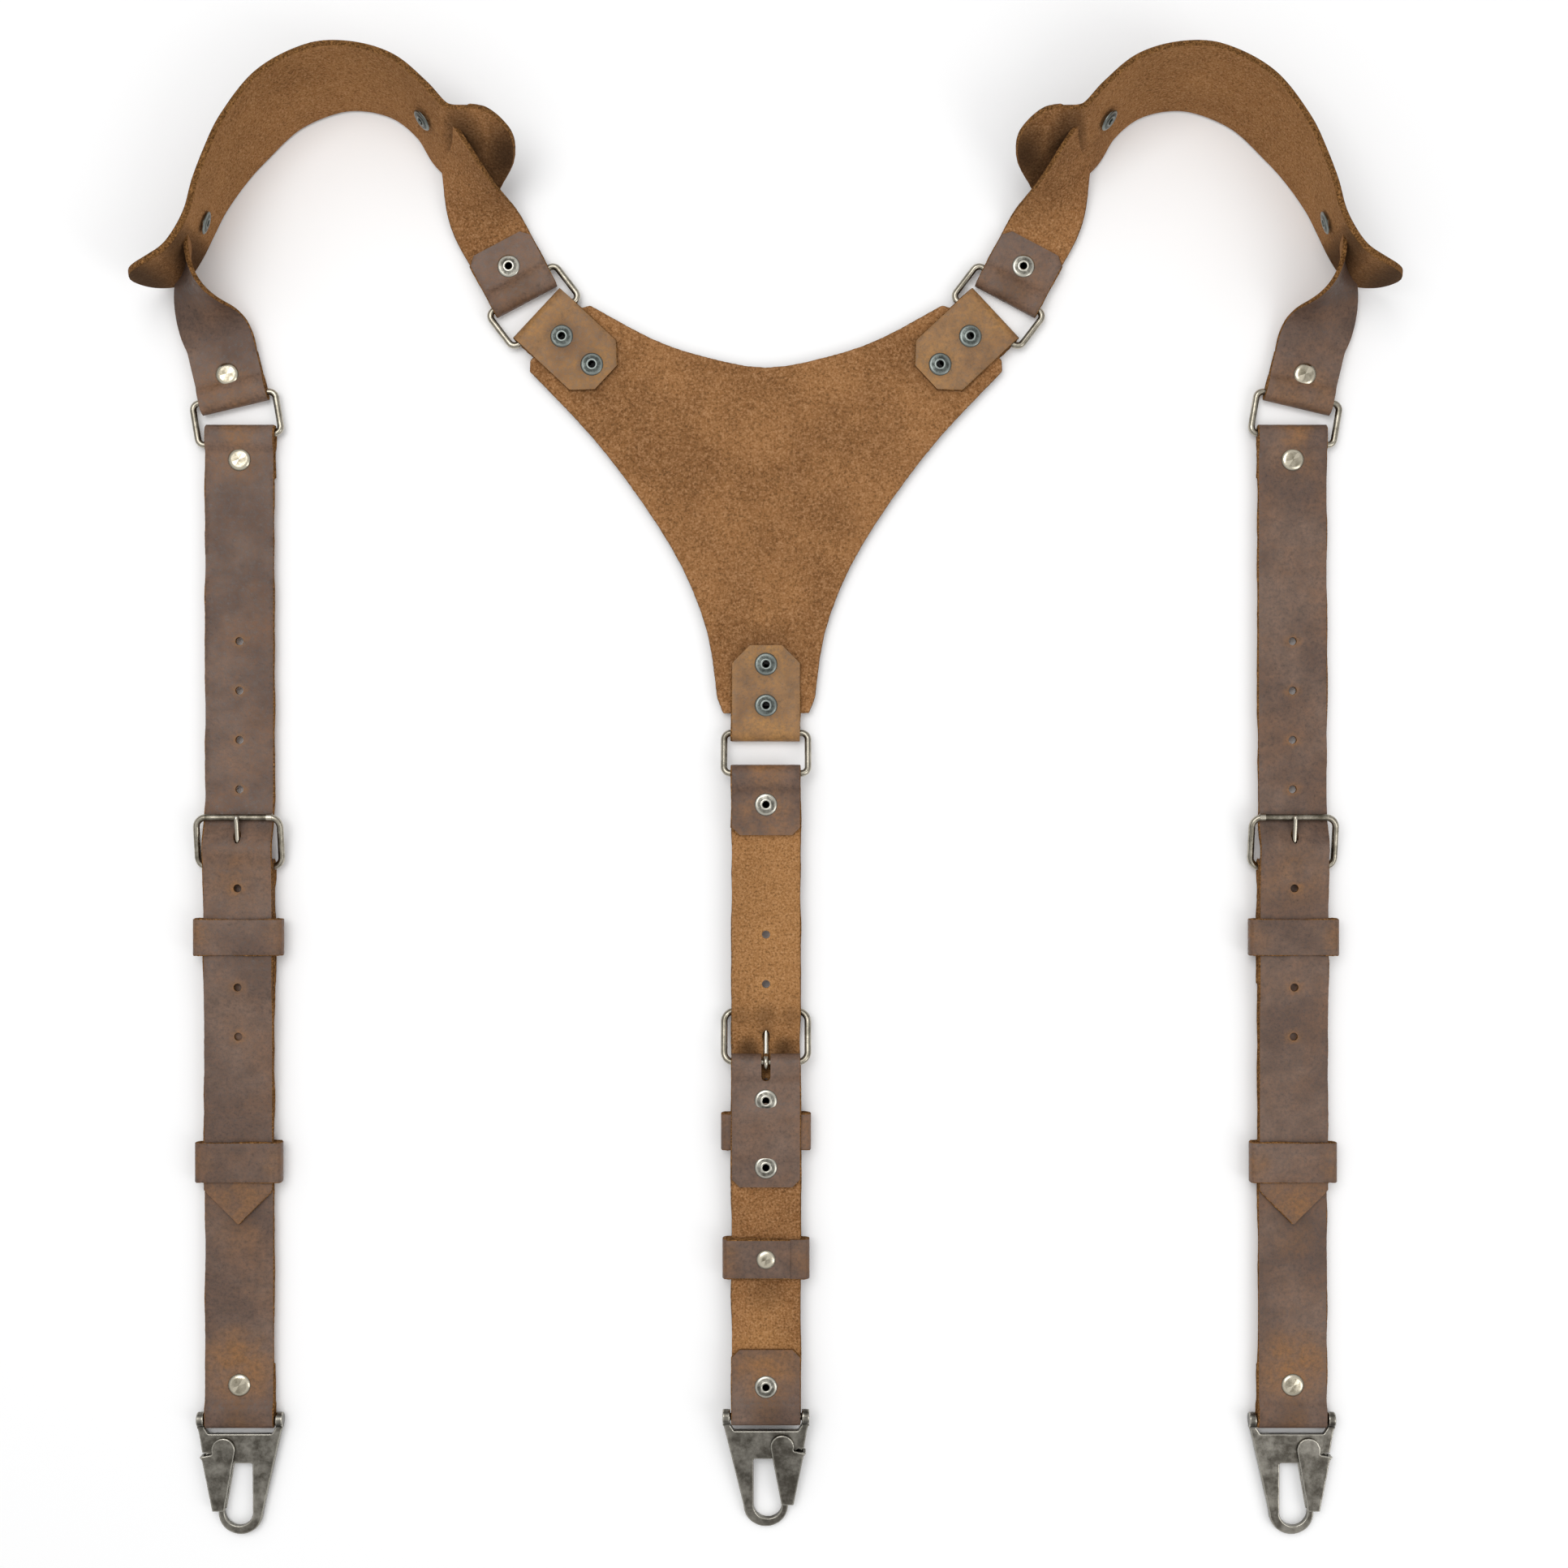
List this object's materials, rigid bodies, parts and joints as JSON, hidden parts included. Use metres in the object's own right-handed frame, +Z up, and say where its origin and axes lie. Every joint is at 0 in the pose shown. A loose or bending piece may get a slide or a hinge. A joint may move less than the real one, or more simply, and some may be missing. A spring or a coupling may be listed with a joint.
{
  "type": "suspenders",
  "caption": "Leather Y-back suspenders laid flat, with arched shoulder pads, wire rings, roller-free buckles, sliding keepers and snap hooks.",
  "frame": {"origin": "on the table, under the middle of the whole flat-laid object", "axes": "+X to the right with the back yoke's flesh side up, +Y towards the shoulder pads, +Z up from the table"},
  "size_m": [0.4912, 0.5782, 0.0468],
  "materials": {
    "leather_grain": "waxed grain side, matt",
    "leather_flesh": "suede flesh side",
    "rivet_nickel": "antique nickel plate",
    "ring_wire": "nickel-plated wire",
    "clip_zinc": "antiqued die-cast zinc",
    "spring_steel": "plain spring wire"
  },
  "bodies": {
    "yoke": {"back_yoke": "leather_flesh", "yoke_tab_left": "leather_flesh", "yoke_tab_right": "leather_flesh", "yoke_tab_bottom": "leather_flesh", "yoke_rivets": "rivet_nickel"},
    "ring_back_left": {"ring_back_left": "ring_wire"},
    "shoulder_left": {"shoulder_strap_left": "leather_grain", "shoulder_pad_left": "leather_flesh", "shoulder_rivets_left": "rivet_nickel"},
    "ring_front_left": {"ring_front_left": "ring_wire"},
    "front_strap_left": {"front_strap_left": "leather_grain", "front_strap_rivet_left": "rivet_nickel", "buckle_frame_left": "ring_wire", "lower_strap_left": "leather_grain", "lower_strap_rivets_left": "rivet_nickel", "keeper_fixed_left": "leather_grain"},
    "prong_left": {"buckle_prong_left": "ring_wire"},
    "keeper_left": {"keeper_sliding_left": "leather_grain", "keeper_rivet_left": "rivet_nickel"},
    "clip_left": {"clip_body_left": "clip_zinc", "clip_spring_left": "spring_steel"},
    "gate_left": {"clip_gate_left": "clip_zinc", "clip_pivot_left": "clip_zinc"},
    "ring_back_right": {"ring_back_right": "ring_wire"},
    "shoulder_right": {"shoulder_strap_right": "leather_grain", "shoulder_pad_right": "leather_flesh", "shoulder_rivets_right": "rivet_nickel"},
    "ring_front_right": {"ring_front_right": "ring_wire"},
    "front_strap_right": {"front_strap_right": "leather_grain", "front_strap_rivet_right": "rivet_nickel", "buckle_frame_right": "ring_wire", "lower_strap_right": "leather_grain", "lower_strap_rivets_right": "rivet_nickel", "keeper_fixed_right": "leather_grain"},
    "prong_right": {"buckle_prong_right": "ring_wire"},
    "keeper_right": {"keeper_sliding_right": "leather_grain", "keeper_rivet_right": "rivet_nickel"},
    "clip_right": {"clip_body_right": "clip_zinc", "clip_spring_right": "spring_steel"},
    "gate_right": {"clip_gate_right": "clip_zinc", "clip_pivot_right": "clip_zinc"},
    "ring_bottom": {"ring_bottom": "ring_wire"},
    "back_strap": {"back_strap": "leather_grain", "back_strap_rivet": "rivet_nickel", "buckle_frame_back": "ring_wire", "back_lower_strap": "leather_grain", "back_lower_rivets": "rivet_nickel", "keeper_fixed_back": "leather_grain"},
    "prong_back": {"buckle_prong_back": "ring_wire"},
    "keeper_back": {"keeper_sliding_back": "leather_grain", "keeper_rivet_back": "rivet_nickel"},
    "clip_back": {"clip_body_back": "clip_zinc", "clip_spring_back": "spring_steel"},
    "gate_back": {"clip_gate_back": "clip_zinc", "clip_pivot_back": "clip_zinc"}
  },
  "joints": [
    {"name": "ring_back_left_swing", "type": "hinge", "parent": "yoke", "child": "ring_back_left", "pos_m": [-0.08685, 0.19043, 0.00375], "axis": [0.7934, 0.6088, 0], "range_deg": [-60, 60]},
    {"name": "shoulder_left_swing", "type": "hinge", "parent": "ring_back_left", "child": "shoulder_left", "pos_m": [-0.09695, 0.2036, 0.00375], "axis": [-0.7934, -0.6088, 0], "range_deg": [-60, 60]},
    {"name": "ring_front_left_swing", "type": "hinge", "parent": "shoulder_left", "child": "ring_front_left", "pos_m": [-0.21074, 0.1608, 0.00375], "axis": [0.9863, 0.165, 0], "range_deg": [-60, 60]},
    {"name": "front_strap_left_swing", "type": "hinge", "parent": "ring_front_left", "child": "front_strap_left", "pos_m": [-0.208, 0.14443, 0.00375], "axis": [-0.9863, -0.165, 0], "range_deg": [-60, 60]},
    {"name": "prong_left_lift", "type": "hinge", "parent": "front_strap_left", "child": "prong_left", "pos_m": [-0.208, -0.02487, 0.00375], "axis": [1, 0, 0], "range_deg": [0, 4]},
    {"name": "keeper_left_slide", "type": "slide", "parent": "front_strap_left", "child": "keeper_left", "axis": [0, 1, 0], "range_m": [-0.045, 0.044]},
    {"name": "clip_left_swing", "type": "hinge", "parent": "front_strap_left", "child": "clip_left", "pos_m": [-0.208, -0.24347, 0.00375], "axis": [1, 0, 0], "range_deg": [-75, 75]},
    {"name": "gate_left_open", "type": "hinge", "parent": "clip_left", "child": "gate_left", "pos_m": [-0.2144, -0.25516, 0.00337], "axis": [0, -0.0329, 0.9995], "range_deg": [0, 20], "stiffness_Nm_per_rad": 0.02, "springref_deg": -20},
    {"name": "ring_back_right_swing", "type": "hinge", "parent": "yoke", "child": "ring_back_right", "pos_m": [0.08685, 0.19043, 0.00375], "axis": [0.7934, -0.6088, 0], "range_deg": [-60, 60]},
    {"name": "shoulder_right_swing", "type": "hinge", "parent": "ring_back_right", "child": "shoulder_right", "pos_m": [0.09695, 0.2036, 0.00375], "axis": [-0.7934, 0.6088, 0], "range_deg": [-60, 60]},
    {"name": "ring_front_right_swing", "type": "hinge", "parent": "shoulder_right", "child": "ring_front_right", "pos_m": [0.21074, 0.1608, 0.00375], "axis": [0.9863, -0.165, 0], "range_deg": [-60, 60]},
    {"name": "front_strap_right_swing", "type": "hinge", "parent": "ring_front_right", "child": "front_strap_right", "pos_m": [0.208, 0.14443, 0.00375], "axis": [-0.9863, 0.165, 0], "range_deg": [-60, 60]},
    {"name": "prong_right_lift", "type": "hinge", "parent": "front_strap_right", "child": "prong_right", "pos_m": [0.208, -0.02487, 0.00375], "axis": [1, 0, 0], "range_deg": [0, 4]},
    {"name": "keeper_right_slide", "type": "slide", "parent": "front_strap_right", "child": "keeper_right", "axis": [0, 1, 0], "range_m": [-0.045, 0.044]},
    {"name": "clip_right_swing", "type": "hinge", "parent": "front_strap_right", "child": "clip_right", "pos_m": [0.208, -0.24347, 0.00375], "axis": [1, 0, 0], "range_deg": [-75, 75]},
    {"name": "gate_right_open", "type": "hinge", "parent": "clip_right", "child": "gate_right", "pos_m": [0.2144, -0.25516, 0.00337], "axis": [0, 0.0329, -0.9995], "range_deg": [0, 20], "stiffness_Nm_per_rad": 0.02, "springref_deg": -20},
    {"name": "ring_bottom_swing", "type": "hinge", "parent": "yoke", "child": "ring_bottom", "pos_m": [0, 0.02809, 0.00375], "axis": [1, 0, 0], "range_deg": [-60, 60]},
    {"name": "back_strap_swing", "type": "hinge", "parent": "ring_bottom", "child": "back_strap", "pos_m": [0, 0.01214, 0.00833], "axis": [-1, 0, 0], "range_deg": [-60, 60]},
    {"name": "prong_back_lift", "type": "hinge", "parent": "back_strap", "child": "prong_back", "pos_m": [0, -0.10156, 0.00833], "axis": [-1, 0, 0], "range_deg": [0, 4]},
    {"name": "keeper_back_slide", "type": "slide", "parent": "back_strap", "child": "keeper_back", "axis": [0, 1, 0], "range_m": [-0.0272, 0.006]},
    {"name": "clip_back_swing", "type": "hinge", "parent": "back_strap", "child": "clip_back", "pos_m": [0, -0.24106, 0.00833], "axis": [1, 0, 0], "range_deg": [-75, 75]},
    {"name": "gate_back_open", "type": "hinge", "parent": "clip_back", "child": "gate_back", "pos_m": [0.0064, -0.25261, 0.00648], "axis": [0, 0.1584, -0.9874], "range_deg": [0, 20], "stiffness_Nm_per_rad": 0.02, "springref_deg": -20}
  ]
}
